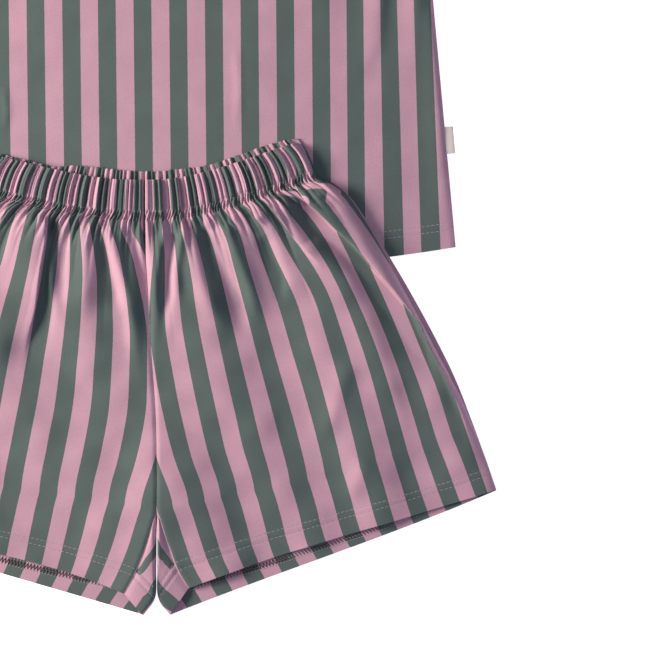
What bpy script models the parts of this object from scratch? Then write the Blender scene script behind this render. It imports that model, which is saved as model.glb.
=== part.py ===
"""Pyjama set laid flat: a striped jersey tee with gathered shorts over its hem.

Every panel is its own closed wall of cloth. Panels are lofted through sections
worked out from the sizes and tables below, in millimetres. +X is the wearer's
left, +Y runs from the shorts' hem to the tee's neck, and +Z is up from the table.
"""
import math

import bmesh
import bpy
import numpy as np

MM = 0.001

# Cloth
WALL = 1.0              # thickness of the jersey
SEAM_GAP = 0.3          # space between two pieces that are sewn together
LAYER_GAP = 0.3         # space between two layers that lie on each other

# Tee
HEM_HALF_WIDTH = 278.0
HEM_CENTRE_Y = -142.6
HEM_RISE = 23.0         # the hem's ends lie this much above its middle
ARMPIT_X = 243.0
ARMPIT_SHARE = 0.70     # of the body's height
ARMHOLE_BOW = 16.0
ARMHOLE_STEPS = 5
SHOULDER_X = 208.0
SHOULDER_Y = 428.0
NECK_POINT_X = 86.0
NECK_POINT_Y = 443.4
FRONT_NECK_DROP = 92.0
BACK_NECK_DROP = 22.0
NECK_STEPS = 14
BAND_WIDTH = 16.0
SLEEVE_TOP = 180.0
SLEEVE_WIDTH = 146.0
SLEEVE_DROP_ANGLE = 30.0
SLEEVE_STATIONS = 4
NECK_POINT_FOLD = (0.55, 0.83)  # the way that the neckband's folds point
NECK_POINT_SHARPNESS = 4
LABEL_WIDTH = 9.0
LABEL_LENGTH = 25.0
LABEL_Y = -21.5
LABEL_CORNER = 0.25     # how far the label's corners are worn round

# Shorts
CASING_DEPTH = 34.0     # top fold to the lower row of stitching
PLEATS_PER_PANEL = 25   # four panels, 100 pleats round the elastic
PLEAT_HEIGHT = 3.2
FRONT_COLUMNS = 100
CROTCH_V = 306.0
BACK_HEM_V = 340.0      # the back hem's own slope starts here
TEE_HEIGHT = 2 * WALL + LAYER_GAP
TEE_CLEARANCE = 0.7     # room for the tee's turned hem under the shorts
FRONT_CLEARANCE = 1.8   # least height of the front's inner face over the ground
DRAPE_RUN = 30.0        # the shorts come down off the tee's hem over this length
DRAPE_START = 16.0      # and start this far outside it

# The centre seam and the wearer's left side fold. v is the distance from the waist
# edge along the cloth; slope is the rise of a cross section where it meets the line.
CENTRE_LINE = (
    # v, x, y, slope
    (0.0, -6.9, -59.4, -0.05),
    (34.0, -6.9, -93.2, -0.03),
    (62.0, -6.3, -120.0, 0.0),
    (90.0, -4.8, -147.0, 0.02),
    (131.0, -3.2, -188.0, 0.03),
    (177.0, 0.0, -233.0, 0.05),
    (218.0, 2.8, -274.0, 0.08),
    (259.0, 4.1, -315.0, 0.12),
    (306.0, 4.3, -361.0, 0.2),
)
SIDE_LINE = (
    # v, x, y, slope
    (0.0, 132.5, -25.5, 0.30),
    (8.0, 138.5, -32.0, 0.31),
    (17.0, 144.0, -41.0, 0.32),
    (26.0, 147.7, -49.4, 0.32),
    (34.0, 151.5, -56.0, 0.33),
    (43.0, 163.0, -60.8, 0.36),
    (62.0, 179.0, -72.0, 0.42),
    (90.0, 195.5, -94.0, 0.48),
    (131.0, 217.5, -129.0, 0.52),
    (177.0, 240.5, -168.0, 0.52),
    (218.0, 260.5, -205.0, 0.50),
    (259.0, 278.0, -241.0, 0.46),
    (298.0, 292.5, -278.0, 0.42),
    (340.0, 305.0, -312.0, 0.36),
    (376.0, 315.3, -341.8, 0.33),
)
# The inseams, which lie on the front, and the folds of the inner legs beside them
INSEAM_LEFT = (
    # v, x, y, slope
    (306.0, 4.3, -361.0, 0.2),
    (340.0, 14.5, -393.5, 0.3),
    (359.0, 23.0, -416.0, 0.38),
    (376.0, 32.9, -432.3, 0.4),
)
INSEAM_RIGHT = (
    (306.0, 4.3, -361.0, 0.2),
    (340.0, -8.5, -402.0, 0.3),
    (359.0, -16.5, -420.5, 0.4),
    (376.0, -25.6, -436.9, 0.42),
)
INNER_FOLD_LEFT = (
    (306.0, 4.3, -361.0, 0.2),
    (323.0, 4.6, -388.0, 0.25),
    (340.0, 4.6, -414.0, 0.3),
    (359.0, 7.6, -441.0, 0.38),
    (376.0, 15.5, -457.0, 0.4),
)
INNER_FOLD_RIGHT = (
    (306.0, 4.3, -361.0, 0.2),
    (323.0, 4.0, -388.0, 0.25),
    (340.0, 3.7, -414.0, 0.3),
    (359.0, -0.5, -441.0, 0.36),
    (376.0, -8.2, -457.0, 0.3),
)
BACK_RISE_RUN = 60.0    # the back casing stands above the front one, less and less down to here
BACK_RISE_LEFT = (
    # share of the way to the side fold, how much of the back casing shows
    (0.0, 8.5), (0.2, 9.0), (0.45, 6.5), (0.8, 8.0), (1.0, 5.5),
)
BACK_RISE_RIGHT = ((0.0, 8.5), (0.3, 10.0), (0.42, 9.0), (0.6, 3.0), (1.0, 3.0))
BACK_HEM_SAG = 0.1      # added to the slope of the back hem's cross section at the side
BACK_HEM_OUTSIDE = 1.0  # the back hem lies this far outside the front one at the side

# Height of the front's outer face over what the shorts lie on, before the folds
LOFT = (
    # v, height
    (0.0, 5.6), (34.0, 5.6), (60.0, 7.0), (120.0, 7.0), (200.0, 5.8),
    (300.0, 4.4), (360.0, 3.4), (376.0, 3.2),
)
INNER_RIDGE = (
    # v, height of the ridge of cloth that stands at the crotch and inner legs
    (0.0, 0.0), (215.0, 0.0), (260.0, 4.0), (306.0, 8.5), (340.0, 6.0), (376.0, 2.6),
)
RIDGE_RUN = 34.0
FOLD_TOP_RUN = 14.0     # a fold rises over this length at its top
FOLD_TOP_START = 0.3    # and has this share of its height where its path starts
FOLD_FOOT_SHARE = 0.4   # it dies away over this share of its length
FOLD_FADE = 16.0        # under the casing the folds rise over this length
FOLD_FADE_START = 2.0
STEEPEST = 1.7          # most that a steep wall of cloth is thickened, straight down
GATHER_SHIFT = (0.012, 17.0)    # how far the gathers wander across, and how often
BACK_PLEATS_END = 50.0  # the back's pleats lie in its casing alone
SIDE_ROUND = 12.0       # the front rounds down to the side fold over this width
INNER_TURNS = (140.0, 90.0, 40.0, 0.0)  # degrees, round the fold of an inner leg
INNER_ROUND = 0.95      # most of the inner leg's width that its fold takes up
INNER_STEP = 0.5        # the back's flat cloth starts this far inside that fold
CASING_STRENGTH = (
    # v, share of the pleats' height
    (0.0, 0.75), (4.0, 1.0), (27.0, 0.95), (32.0, 0.6), (41.0, 0.75), (52.0, 0.25), (66.0, 0.0),
)
GATHERS = (
    # waves across a panel, and their height at each v
    (12.5, ((38.0, 0.0), (50.0, 2.0), (66.0, 1.2), (96.0, 0.0))),
    (7.0, ((44.0, 0.0), (74.0, 1.3), (120.0, 0.6), (165.0, 0.0))),
)

# The shorts' largest folds: a path of points from its top to its foot, how far each
# side of it runs out, towards -X and towards +X, and its height, negative for a valley.
FOLDS = (
    # name, path, minus_run, plus_run, height
    ("by the seam", ((10, -104), (4, -150), (3, -190)), 5, 5, 3.0),
    ("first valley", ((21, -106), (14, -150), (8, -214)), 5, 5, -3.0),
    ("second ridge", ((29, -100), (22, -138), (24, -180)), 5, 5, 3.0),
    ("long ridge", ((38, -104), (50, -145), (62, -179), (78, -207)), 11, 12, 4.8),
    ("middle valley", ((57, -104), (69, -134), (80, -160), (88, -196)), 7, 6, -3.2),
    ("broad ridge", ((84, -98), (96, -136), (106, -182)), 11, 7, 4.2),
    ("short valley", ((103, -104), (118, -148), (119, -170)), 7, 6, -3.2),
    ("small overlap", ((88, -84), (103, -98), (124, -108)), 4, 12, 3.4),
    ("second overlap", ((114, -75), (143, -94), (166, -128)), 5, 12, 4.0),
    ("side ridge", ((156, -114), (176, -159), (199, -229), (227, -333)), 16, 9, 4.4),
    ("side valley", ((160, -104), (181, -139), (222, -214), (248, -322)), 9, 8, -3.8),
    ("side overlap", ((138, -82), (170, -112), (209, -150), (236, -181), (262, -240), (290, -320)), 5, 20, 6.0),
    ("low crease", ((181, -226), (154, -305)), 9, 9, 1.8),
    ("hem crease", ((196, -312), (178, -360)), 9, 9, 1.8),
    ("seam valley", ((-20, -101), (-13, -129), (-5, -165), (-1, -225)), 6, 5, -3.8),
    ("right long ridge", ((-42, -98), (-32, -132), (-20, -170), (-11, -246)), 7, 7, 3.8),
    ("right valley", ((-46, -112), (-36, -150), (-30, -186)), 6, 6, -3.0),
    ("right crown", ((-61, -100), (-58, -132), (-63, -196)), 9, 11, 4.8),
    ("right small valley", ((-74, -108), (-82, -160), (-79, -190)), 5, 5, -2.6),
    ("right thin ridge", ((-79, -98), (-92, -135), (-93, -178)), 5, 5, 3.2),
    ("right deep valley", ((-94, -104), (-104, -170), (-121, -249), (-131, -290)), 8, 8, -4.6),
    ("right outer ridge", ((-108, -96), (-121, -168), (-140, -262)), 18, 9, 4.6),
    ("right side valley", ((-150, -104), (-181, -150), (-215, -222), (-234, -318)), 9, 9, -3.6),
    ("right side overlap", ((-146, -90), (-198, -148), (-247, -220), (-286, -330)), 24, 5, 5.6),
)
TEE_FOLDS = (
    ("chest fold", ((150, 330), (158, 210), (157, 62)), 26, 12, 3.4),
    ("diagonal fold", ((236, 300), (222, 180), (214, 70), (184, 16)), 12, 12, 2.2),
    ("right fold", ((-160, 350), (-172, 200), (-164, 60)), 14, 26, 3.2),
    ("right diagonal", ((-232, 290), (-220, 150), (-196, 30)), 12, 12, 2.0),
)

PINK = (0.60, 0.35, 0.40, 1.0)
GREEN = (0.16, 0.21, 0.19, 1.0)
CREAM = (0.80, 0.76, 0.68, 1.0)


def clear_scene():
    for thing in list(bpy.data.objects):
        bpy.data.objects.remove(thing, do_unlink=True)


def material(name, colour, roughness=0.9):
    made = bpy.data.materials.new(name)
    made.use_nodes = True
    shader = made.node_tree.nodes["Principled BSDF"]
    shader.inputs["Base Color"].default_value = colour
    shader.inputs["Roughness"].default_value = roughness
    shader.inputs["Metallic"].default_value = 0.0
    return made


def smooth_step(t):
    t = np.clip(t, 0.0, 1.0)
    return t * t * (3.0 - 2.0 * t)


def along(table, v):
    """Columns of a table at v, on a smooth curve through its rows."""
    rows = np.array(table, dtype=float)
    keys = rows[:, 0]
    slopes = np.gradient(rows[:, 1:], keys, axis=0)
    v = float(np.clip(v, keys[0], keys[-1]))
    k = int(np.clip(np.searchsorted(keys, v) - 1, 0, len(keys) - 2))
    span = keys[k + 1] - keys[k]
    t = (v - keys[k]) / span
    a, b = rows[k, 1:], rows[k + 1, 1:]
    return ((2 * t**3 - 3 * t**2 + 1) * a + (t**3 - 2 * t**2 + t) * span * slopes[k]
            + (3 * t**2 - 2 * t**3) * b + (t**3 - t**2) * span * slopes[k + 1])


def level(table, v):
    """The value that a two column table gives at v, on straight lines."""
    keys, values = zip(*table)
    return float(np.interp(v, keys, values))


def section(start, end, s):
    """A cross section from start to end, each x, y and slope, at the shares s."""
    run = end[0] - start[0]
    x = start[0] + run * s
    y = ((2 * s**3 - 3 * s**2 + 1) * start[1] + (s**3 - 2 * s**2 + s) * start[2] * run
         + (3 * s**2 - 2 * s**3) * end[1] + (s**3 - s**2) * end[2] * run)
    return x, y


def mirrored(point):
    """The wearer's right side is the left one, mirrored in the leaning centre seam."""
    top, foot = np.array(CENTRE_LINE[0][1:3]), np.array(CENTRE_LINE[-1][1:3])
    axis = (foot - top) / np.linalg.norm(foot - top)
    across = np.array((-axis[1], axis[0]))
    spot = np.array(point[:2])
    spot = spot - 2.0 * np.dot(spot - top, across) * across
    tilt = 2.0 * math.atan2(axis[1], axis[0]) - math.atan(point[2])
    return spot[0], spot[1], math.tan(tilt)


def fold_height(folds, x, y):
    """Sum of the folds' heights at points x, y."""
    total = np.zeros_like(x)
    for _, path, minus_run, plus_run, height in folds:
        nearest = np.full_like(x, 1e9)
        place = np.zeros_like(x)
        offset = np.zeros_like(x)
        steps = [math.dist(a, b) for a, b in zip(path, path[1:])]
        length = sum(steps)
        done = 0.0
        for (ax, ay), (bx, by), step in zip(path, path[1:], steps):
            dx, dy = (bx - ax) / step, (by - ay) / step
            run = np.clip((x - ax) * dx + (y - ay) * dy, 0.0, step)
            gap_x, gap_y = x - ax - dx * run, y - ay - dy * run
            gap = np.hypot(gap_x, gap_y)
            closer = gap < nearest
            nearest = np.where(closer, gap, nearest)
            place = np.where(closer, done + run, place)
            offset = np.where(closer, dx * gap_y - dy * gap_x, offset)
            done += step
        reach = np.where(offset > 0.0, plus_run, minus_run)
        top = smooth_step(place / FOLD_TOP_RUN + FOLD_TOP_START)
        taper = top * smooth_step((length - place) / (FOLD_FOOT_SHARE * length))
        total += height * taper * np.exp(-(nearest / reach) ** 2)
    return total


def tee_hem_y(x):
    return HEM_CENTRE_Y + HEM_RISE * (x / HEM_HALF_WIDTH) ** 2


def ground(x, y):
    """What the shorts lie on: the tee above its hem, and the table below it."""
    below = tee_hem_y(x) - y
    lift = smooth_step((DRAPE_START + DRAPE_RUN - below) / DRAPE_RUN)
    return (TEE_HEIGHT + TEE_CLEARANCE) * lift


def casing_pleats(v, s, flat_ends=False):
    """Pleats of the gathered casing: a wave across, held down at the stitching."""
    strength = level(CASING_STRENGTH, v)
    wave = 0.5 - 0.5 * np.cos(2 * math.pi * PLEATS_PER_PANEL * s)
    if flat_ends:
        wave = wave * smooth_step((1.0 - s) * PLEATS_PER_PANEL / 2.0)
    return PLEAT_HEIGHT * strength * wave


def gathers(v, s):
    """Softer waves into which the pleats open under the casing."""
    share = s + GATHER_SHIFT[0] * np.sin(GATHER_SHIFT[1] * s)
    total = np.zeros_like(s)
    for waves, heights in GATHERS:
        total += level(heights, v) * (0.5 - 0.5 * np.cos(2 * math.pi * waves * share))
    return total


def front_height(v, s, x, y, distance):
    """Height of a front panel's outer face; distance is that to the side fold."""
    floor = ground(x, y)
    low = FRONT_CLEARANCE + 1.1 * WALL
    centre_x = along(CENTRE_LINE, v)[0]
    ridge = level(INNER_RIDGE, v) * np.exp(-((x - centre_x) / RIDGE_RUN) ** 2)
    folds = fold_height(FOLDS, x, y) * smooth_step((v - CASING_DEPTH - FOLD_FADE_START) / FOLD_FADE)
    height = level(LOFT, v) + ridge + folds + gathers(v, s) + casing_pleats(v, s)
    spare = height - low
    over = 0.5 * (spare + np.sqrt(spare**2 + 1.0))
    edge = np.clip(distance / SIDE_ROUND, 0.0, 1.0)
    return floor + low + over * np.sqrt(1.0 - (1.0 - edge) ** 2)


def steepness(x, z):
    """How much thicker a steep wall measures straight down."""
    slope = np.gradient(z, x) if len(x) > 2 else np.zeros_like(x)
    return np.minimum(np.sqrt(1.0 + slope**2), STEEPEST)


def knit(faces, upper, lower):
    """Faces between two rows of point numbers, of like counts or two to one."""
    if len(upper) == len(lower):
        for k in range(len(upper) - 1):
            faces.append((upper[k], lower[k], lower[k + 1], upper[k + 1]))
        return
    for k in range(len(lower) - 1):
        a, b, c = upper[2 * k:2 * k + 3]
        faces.append((a, lower[k], b))
        faces.append((b, lower[k], lower[k + 1]))
        faces.append((b, lower[k + 1], c))


def wall(name, outer, inner, faces, look):
    """A closed wall of cloth from its outer face, its inner face and a rim."""
    mesh = bpy.data.meshes.new(name)
    shape = bmesh.new()
    outside = [shape.verts.new(np.array(p) * MM) for p in outer]
    inside = [shape.verts.new(np.array(p) * MM) for p in inner]
    edges = set()
    for face in faces:
        shape.faces.new([outside[i] for i in face])
        shape.faces.new([inside[i] for i in reversed(face)])
        edges.update(zip(face, face[1:] + face[:1]))
    for a, b in sorted(edges):
        if (b, a) not in edges:
            shape.faces.new((outside[b], outside[a], inside[a], inside[b]))
    shape.to_mesh(mesh)
    shape.free()
    mesh.materials.append(look)
    mesh.shade_smooth()
    mesh.set_sharp_from_angle(angle=math.radians(60))
    thing = bpy.data.objects.new(name, mesh)
    bpy.data.collections["pyjama_set"].objects.link(thing)
    return thing


def front_rows():
    """Distances from the waist edge, with the columns of points at each."""
    full, half, quarter = FRONT_COLUMNS, FRONT_COLUMNS // 2, FRONT_COLUMNS // 4
    rows = [(v, full) for v in (0, 4, 28, 33, 41)]
    rows += [(v, half) for v in (50, 60, 73, 88, 104, 122, 142, 164, 186, 210)]
    rows += [(v, quarter) for v in (234, 256, 274, 290, 306)]
    rows += [(v, quarter) for v in (323, 340, 359, 376)]
    return rows


def side_point(side, v):
    point = along(SIDE_LINE, v)
    return point if side > 0 else mirrored(point)


def shorts_front(side, name, look):
    inseam = INSEAM_LEFT if side > 0 else INSEAM_RIGHT
    outer, inner, faces = [], [], []
    last = None
    for v, columns in front_rows():
        s = np.linspace(0.0, 1.0, columns + 1)
        start = np.array(along(CENTRE_LINE if v <= CROTCH_V else inseam, v))
        start[2] *= side
        end = side_point(side, v)
        x, y = section(start, end, s)
        gap = side * SEAM_GAP / 2
        distance = np.hypot(x - end[0], y - end[1])
        z = front_height(v, s, x, y, distance)
        x = x + gap * (1.0 - s)
        under = np.maximum(z - WALL * steepness(x, z), ground(x, y) + FRONT_CLEARANCE)
        numbers = [len(outer) + k for k in range(columns + 1)]
        outer += list(zip(x, y, z))
        inner += list(zip(x, y, under))
        if last:
            knit(faces, last, numbers)
        last = numbers
    if side < 0:
        faces = [tuple(reversed(face)) for face in faces]
    return wall(name, outer, inner, faces, look)


def back_rows():
    half, quarter = FRONT_COLUMNS // 2, FRONT_COLUMNS // 4
    rows = [(v, half) for v in (0, 4, 28, 41)]
    rows += [(v, quarter) for v in (58, 78, 98, 118, 138, 158, 180, 205, 230, 255, 280, 306)]
    rows += [(v, quarter) for v in (323, 340, 359, 376)]
    return rows


def back_bottom(v, s, x, y):
    if v > BACK_PLEATS_END:
        return ground(x, y)
    return ground(x, y) + casing_pleats(v, s, flat_ends=True)


def inner_leg(side, v, sewn, fold):
    """The back panel's way round the inner leg, from the inseam down to the table:
    its outer points, and which way its outer face looks at each of them."""
    spot = np.array([sewn[0]]), np.array([sewn[1]])
    top = float(front_height(v, np.zeros(1), spot[0], spot[1], np.full(1, 99.0))[0])
    bottom = float(ground(fold[0], fold[1]))
    gap = side * SEAM_GAP / 2
    if v <= CROTCH_V:
        top -= 3 * WALL + LAYER_GAP
        heights = (top, 0.75 * top, top / 2, 0.25 * top, bottom)
        return [(fold[0] + gap, fold[1], z) for z in heights], [(-side, 0.0)] * 4 + [(0.0, -1.0)]
    span = abs(sewn[0] - fold[0])
    radius = min((top - bottom) / 2, INNER_ROUND * span) / span
    points, ways = [(sewn[0] - 2 * gap, sewn[1], top)], [(0.0, 1.0)]
    for turn in INNER_TURNS:
        across, down = math.sin(math.radians(turn)), math.cos(math.radians(turn))
        share = 1.0 - radius * (1.0 - across)
        x, y = (sewn[i] + (fold[i] - sewn[i]) * share for i in (0, 1))
        points.append((x + gap, y, bottom + (top - bottom) / 2 * (1.0 - down)))
        ways.append((-side * across, -down))
    return points, ways


def shorts_back(side, name, look):
    inseam = INSEAM_LEFT if side > 0 else INSEAM_RIGHT
    fold_line = INNER_FOLD_LEFT if side > 0 else INNER_FOLD_RIGHT
    outer, inner, faces = [], [], []
    last = last_leg = None
    for v, columns in back_rows():
        s = np.linspace(0.0, 1.0, columns + 1)
        below = v > CROTCH_V
        start = np.array(along(CENTRE_LINE if not below else fold_line, v))
        start[2] *= side
        end = np.array(side_point(side, v))
        if v >= BACK_HEM_V:
            end[1] -= BACK_HEM_OUTSIDE
            end[2] += side * BACK_HEM_SAG
        leg = None
        if v >= CROTCH_V:
            leg, ways = inner_leg(side, v, along(inseam, v), start)
            start[:2] = leg[-1][0] + side * INNER_STEP, leg[-1][1] + start[2] * side * INNER_STEP
        x, y = section(start, end, s)
        rise = BACK_RISE_LEFT if side > 0 else BACK_RISE_RIGHT
        y = y + np.array([level(rise, share) for share in s]) * smooth_step(1.0 - v / BACK_RISE_RUN)
        z = back_bottom(v, s, x, y)
        x = x + side * SEAM_GAP / 2 * (1.0 - s)
        drop = WALL * steepness(x, z)
        numbers = [len(outer) + k for k in range(columns + 1)]
        outer += list(zip(x, y, z))
        inner += list(zip(x, y, z + drop))
        if last:
            knit(faces, last, numbers)
        last = numbers
        if leg:
            ring = [len(outer) + k for k in range(len(leg))] + [numbers[0]]
            for (px, py, pz), (wx, wz) in zip(leg, ways):
                outer.append((px, py, pz))
                inner.append((px - WALL * wx, py, pz - WALL * wz))
            if last_leg:
                knit(faces, last_leg, ring)
            last_leg = ring
    if side > 0:
        faces = [tuple(reversed(face)) for face in faces]
    return wall(name, outer, inner, faces, look)


def tee_columns():
    """Shares of the half width, closest together where the neckline is steep."""
    neck = NECK_POINT_X / SHOULDER_X
    left = np.linspace(-1.0, -neck, 7)[:-1]
    middle = -neck * np.cos(np.linspace(0.0, math.pi, NECK_STEPS + 1))
    return np.concatenate((left, middle, -left[::-1]))


def side_height(share):
    """Y of the body's side edge at a share of its height, from hem to shoulder."""
    hem = HEM_CENTRE_Y + HEM_RISE
    return hem + (SHOULDER_Y - hem) * share


def tee_width(share):
    """Half width of the body at a share of its height, with the armholes cut in."""
    if share <= ARMPIT_SHARE:
        return HEM_HALF_WIDTH + (ARMPIT_X - HEM_HALF_WIDTH) * share / ARMPIT_SHARE
    t = (share - ARMPIT_SHARE) / (1.0 - ARMPIT_SHARE)
    return ARMPIT_X + (SHOULDER_X - ARMPIT_X) * t - ARMHOLE_BOW * math.sin(math.pi * t)


def tee_top(columns, drop):
    """The tee's upper edge: shoulders, and a round neckline between them."""
    neck = NECK_POINT_X / SHOULDER_X
    x = np.abs(columns)
    shoulder = NECK_POINT_Y + (SHOULDER_Y - NECK_POINT_Y) * (x - neck) / (1.0 - neck)
    round_neck = NECK_POINT_Y - drop * np.sqrt(np.clip(1.0 - (x / neck) ** 2, 0.0, 1.0))
    return np.where(x < neck, round_neck, shoulder)


def tee_panel(name, look, drop, shares, base, folds):
    columns = tee_columns()
    outer, inner, faces = [], [], []
    last = None
    for share in shares:
        x = columns * tee_width(share)
        y = (1.0 - share) * tee_hem_y(columns * HEM_HALF_WIDTH) + share * tee_top(columns, drop)
        z = np.full_like(x, base) + np.maximum(fold_height(folds, x, y), 0.0)
        numbers = [len(outer) + k for k in range(len(columns))]
        outer += list(zip(x, y, z))
        down = WALL if base > WALL else -WALL
        inner += list(zip(x, y, z - down))
        if last:
            knit(faces, last, numbers)
        last = numbers
    if base > WALL:
        faces = [tuple(reversed(face)) for face in faces]
    return wall(name, outer, inner, faces, look)


def sleeve(side, name, look):
    """A flattened tube from the armhole to the sleeve's hem, open at both ends."""
    angle = math.radians(SLEEVE_DROP_ANGLE)
    way = np.array((math.cos(angle), -math.sin(angle)))
    hem_top = np.array((SHOULDER_X, SHOULDER_Y)) + SLEEVE_TOP * way
    hem_foot = hem_top - SLEEVE_WIDTH * np.array((math.sin(angle), math.cos(angle)))
    armhole = []
    for share in np.linspace(1.0, ARMPIT_SHARE, ARMHOLE_STEPS + 1):
        armhole.append(np.array((tee_width(share) + 2 * SEAM_GAP, side_height(share))))
    outer, inner, faces = [], [], []
    last = None
    for station in np.linspace(0.0, 1.0, SLEEVE_STATIONS + 1):
        spots = []
        for k, cut in enumerate(armhole):
            straight = hem_top + (hem_foot - hem_top) * k / ARMHOLE_STEPS
            spots.append(cut * (1.0 - station) + straight * station)
        pull = WALL * (spots[-1] - spots[0]) / np.linalg.norm(spots[-1] - spots[0])
        tucked = [spots[0] + pull] + spots[1:-1] + [spots[-1] - pull]
        mid, half = TEE_HEIGHT / 2, LAYER_GAP / 2
        ring_out = [(side * p[0], p[1], TEE_HEIGHT) for p in spots]
        ring_out += [(side * p[0], p[1], 0.0) for p in reversed(spots)]
        ring_in = [(side * p[0], p[1], mid + half) for p in tucked]
        ring_in += [(side * p[0], p[1], mid - half) for p in reversed(tucked)]
        numbers = [len(outer) + k for k in range(len(ring_out))]
        outer += ring_out
        inner += ring_in
        if last:
            knit(faces, last + last[:1], numbers + numbers[:1])
        last = numbers
    if side > 0:
        faces = [tuple(reversed(face)) for face in faces]
    return wall(name, outer, inner, faces, look)


def neckband(name, look):
    """A closed ring of ribbing: along the front neckline, folded over at each neck
    point, and back along the back neckline under it."""
    reach = NECK_POINT_X - SEAM_GAP
    outer, inner = [], []
    strips = ((FRONT_NECK_DROP, TEE_HEIGHT, TEE_HEIGHT - WALL, -1), (BACK_NECK_DROP, 0.0, WALL, 1))
    for drop, outside, inside, way in strips:
        for k in range(NECK_STEPS + 1):
            angle = math.pi * k / NECK_STEPS
            x = way * reach * math.cos(angle)
            y = NECK_POINT_Y + SEAM_GAP - drop * math.sin(angle)
            normal = np.array((-way * drop * math.cos(angle), reach * math.sin(angle)))
            out, up = NECK_POINT_FOLD
            fold = np.array((-out * math.copysign(1.0, x), up))
            share = abs(math.cos(angle)) ** NECK_POINT_SHARPNESS
            rise = normal / np.linalg.norm(normal) * (1.0 - share) + fold * share
            rise = BAND_WIDTH * rise / np.linalg.norm(rise)
            inset = np.zeros(2)
            if k in (0, NECK_STEPS):
                inset = WALL * np.array((-up * math.copysign(1.0, x), -out))
            for spot in (np.array((x, y)), np.array((x, y)) + rise):
                outer.append((spot[0], spot[1], outside))
                spot = spot + inset
                inner.append((spot[0], spot[1], inside))
    count = len(outer) // 2
    faces = []
    for k in range(count):
        n = (k + 1) % count
        faces.append((2 * k, 2 * n, 2 * n + 1, 2 * k + 1))
    return wall(name, outer, inner, faces, look)


def side_label(name, look):
    """A small folded ribbon that stands out of the side seam."""
    share = (LABEL_Y - side_height(0.0)) / (side_height(1.0) - side_height(0.0))
    lean = math.atan2(HEM_HALF_WIDTH - ARMPIT_X, side_height(ARMPIT_SHARE) - side_height(0.0))
    centre = tee_width(share) + (SEAM_GAP + LABEL_WIDTH / 2) / math.cos(lean)
    bpy.ops.mesh.primitive_cube_add(size=1.0)
    thing = bpy.context.active_object
    thing.name = name
    thing.data.name = name
    thing.scale = (LABEL_WIDTH * MM, LABEL_LENGTH * MM, WALL * MM)
    bpy.ops.object.transform_apply(location=False, rotation=False, scale=True)
    bevel = thing.modifiers.new("worn corners", "BEVEL")
    bevel.width = LABEL_CORNER * MM
    bevel.segments = 1
    thing.rotation_euler = (0.0, 0.0, lean)
    thing.location = (centre * MM, LABEL_Y * MM, TEE_HEIGHT / 2 * MM)
    thing.data.materials.append(look)
    for group in thing.users_collection:
        group.objects.unlink(thing)
    bpy.data.collections["pyjama_set"].objects.link(thing)


def build():
    clear_scene()
    group = bpy.data.collections.new("pyjama_set")
    bpy.context.scene.collection.children.link(group)
    jersey = material("striped jersey", PINK)
    jersey_back = material("striped jersey back", GREEN)
    rib = material("cotton rib", PINK)
    ribbon = material("label ribbon", CREAM, 0.5)
    armhole = np.linspace(ARMPIT_SHARE, 1.0, ARMHOLE_STEPS + 1)[1:]
    back_shares = np.concatenate((np.linspace(0.0, ARMPIT_SHARE, 4), armhole))
    front_shares = np.concatenate((np.linspace(0.0, ARMPIT_SHARE, 13), armhole))
    tee_panel("shirt_back", jersey_back, BACK_NECK_DROP, back_shares, 0.0, ())
    tee_panel("shirt_front", jersey, FRONT_NECK_DROP, front_shares, TEE_HEIGHT, TEE_FOLDS)
    sleeve(1, "sleeve_left", jersey)
    sleeve(-1, "sleeve_right", jersey)
    neckband("neckband", rib)
    side_label("side_label", ribbon)
    shorts_back(1, "shorts_back_left", jersey_back)
    shorts_back(-1, "shorts_back_right", jersey_back)
    shorts_front(1, "shorts_front_left", jersey)
    shorts_front(-1, "shorts_front_right", jersey)


build()
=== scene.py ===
# Pyjama set laid flat: a striped jersey tee, with gathered shorts over its hem.
# Sizes are in millimetres until a mesh is written. +X is the wearer's left, +Y runs up
# to the tee's neck, and the set lies on the table at z = 0.
import math

import bpy
import numpy as np
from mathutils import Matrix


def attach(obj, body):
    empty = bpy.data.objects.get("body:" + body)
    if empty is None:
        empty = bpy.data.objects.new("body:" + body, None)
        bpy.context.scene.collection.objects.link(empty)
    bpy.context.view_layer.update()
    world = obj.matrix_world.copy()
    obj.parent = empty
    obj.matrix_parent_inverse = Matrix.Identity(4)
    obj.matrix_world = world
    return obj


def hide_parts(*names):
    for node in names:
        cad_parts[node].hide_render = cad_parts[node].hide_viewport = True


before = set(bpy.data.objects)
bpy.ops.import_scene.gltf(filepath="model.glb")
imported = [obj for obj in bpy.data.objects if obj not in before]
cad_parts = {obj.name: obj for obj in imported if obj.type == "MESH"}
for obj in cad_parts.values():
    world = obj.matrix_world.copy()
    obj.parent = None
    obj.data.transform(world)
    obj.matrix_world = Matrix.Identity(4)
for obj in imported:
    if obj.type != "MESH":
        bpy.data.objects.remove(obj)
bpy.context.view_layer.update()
bpy.ops.object.select_all(action="DESELECT")

# ---- camera and light
view = {
    "centre": (158.6, -191.5),  # under the middle of the photo's frame
    "across": 595.0,  # what the frame takes in, at the cloth's height
    "clothHeight": 8.0, "lens": 100.0, "sensor": 36.0,
}


def addCamera():  # straight above, as the photo was taken
    data = bpy.data.cameras.new("over the shorts")
    data.lens = view["lens"]
    data.sensor_width = view["sensor"]
    camera = bpy.data.objects.new("over the shorts", data)
    bpy.context.scene.collection.objects.link(camera)
    high = view["across"] * view["lens"] / view["sensor"] + view["clothHeight"]
    camera.location = (view["centre"][0] / 1000, view["centre"][1] / 1000, high / 1000)
    bpy.context.scene.camera = camera


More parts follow.
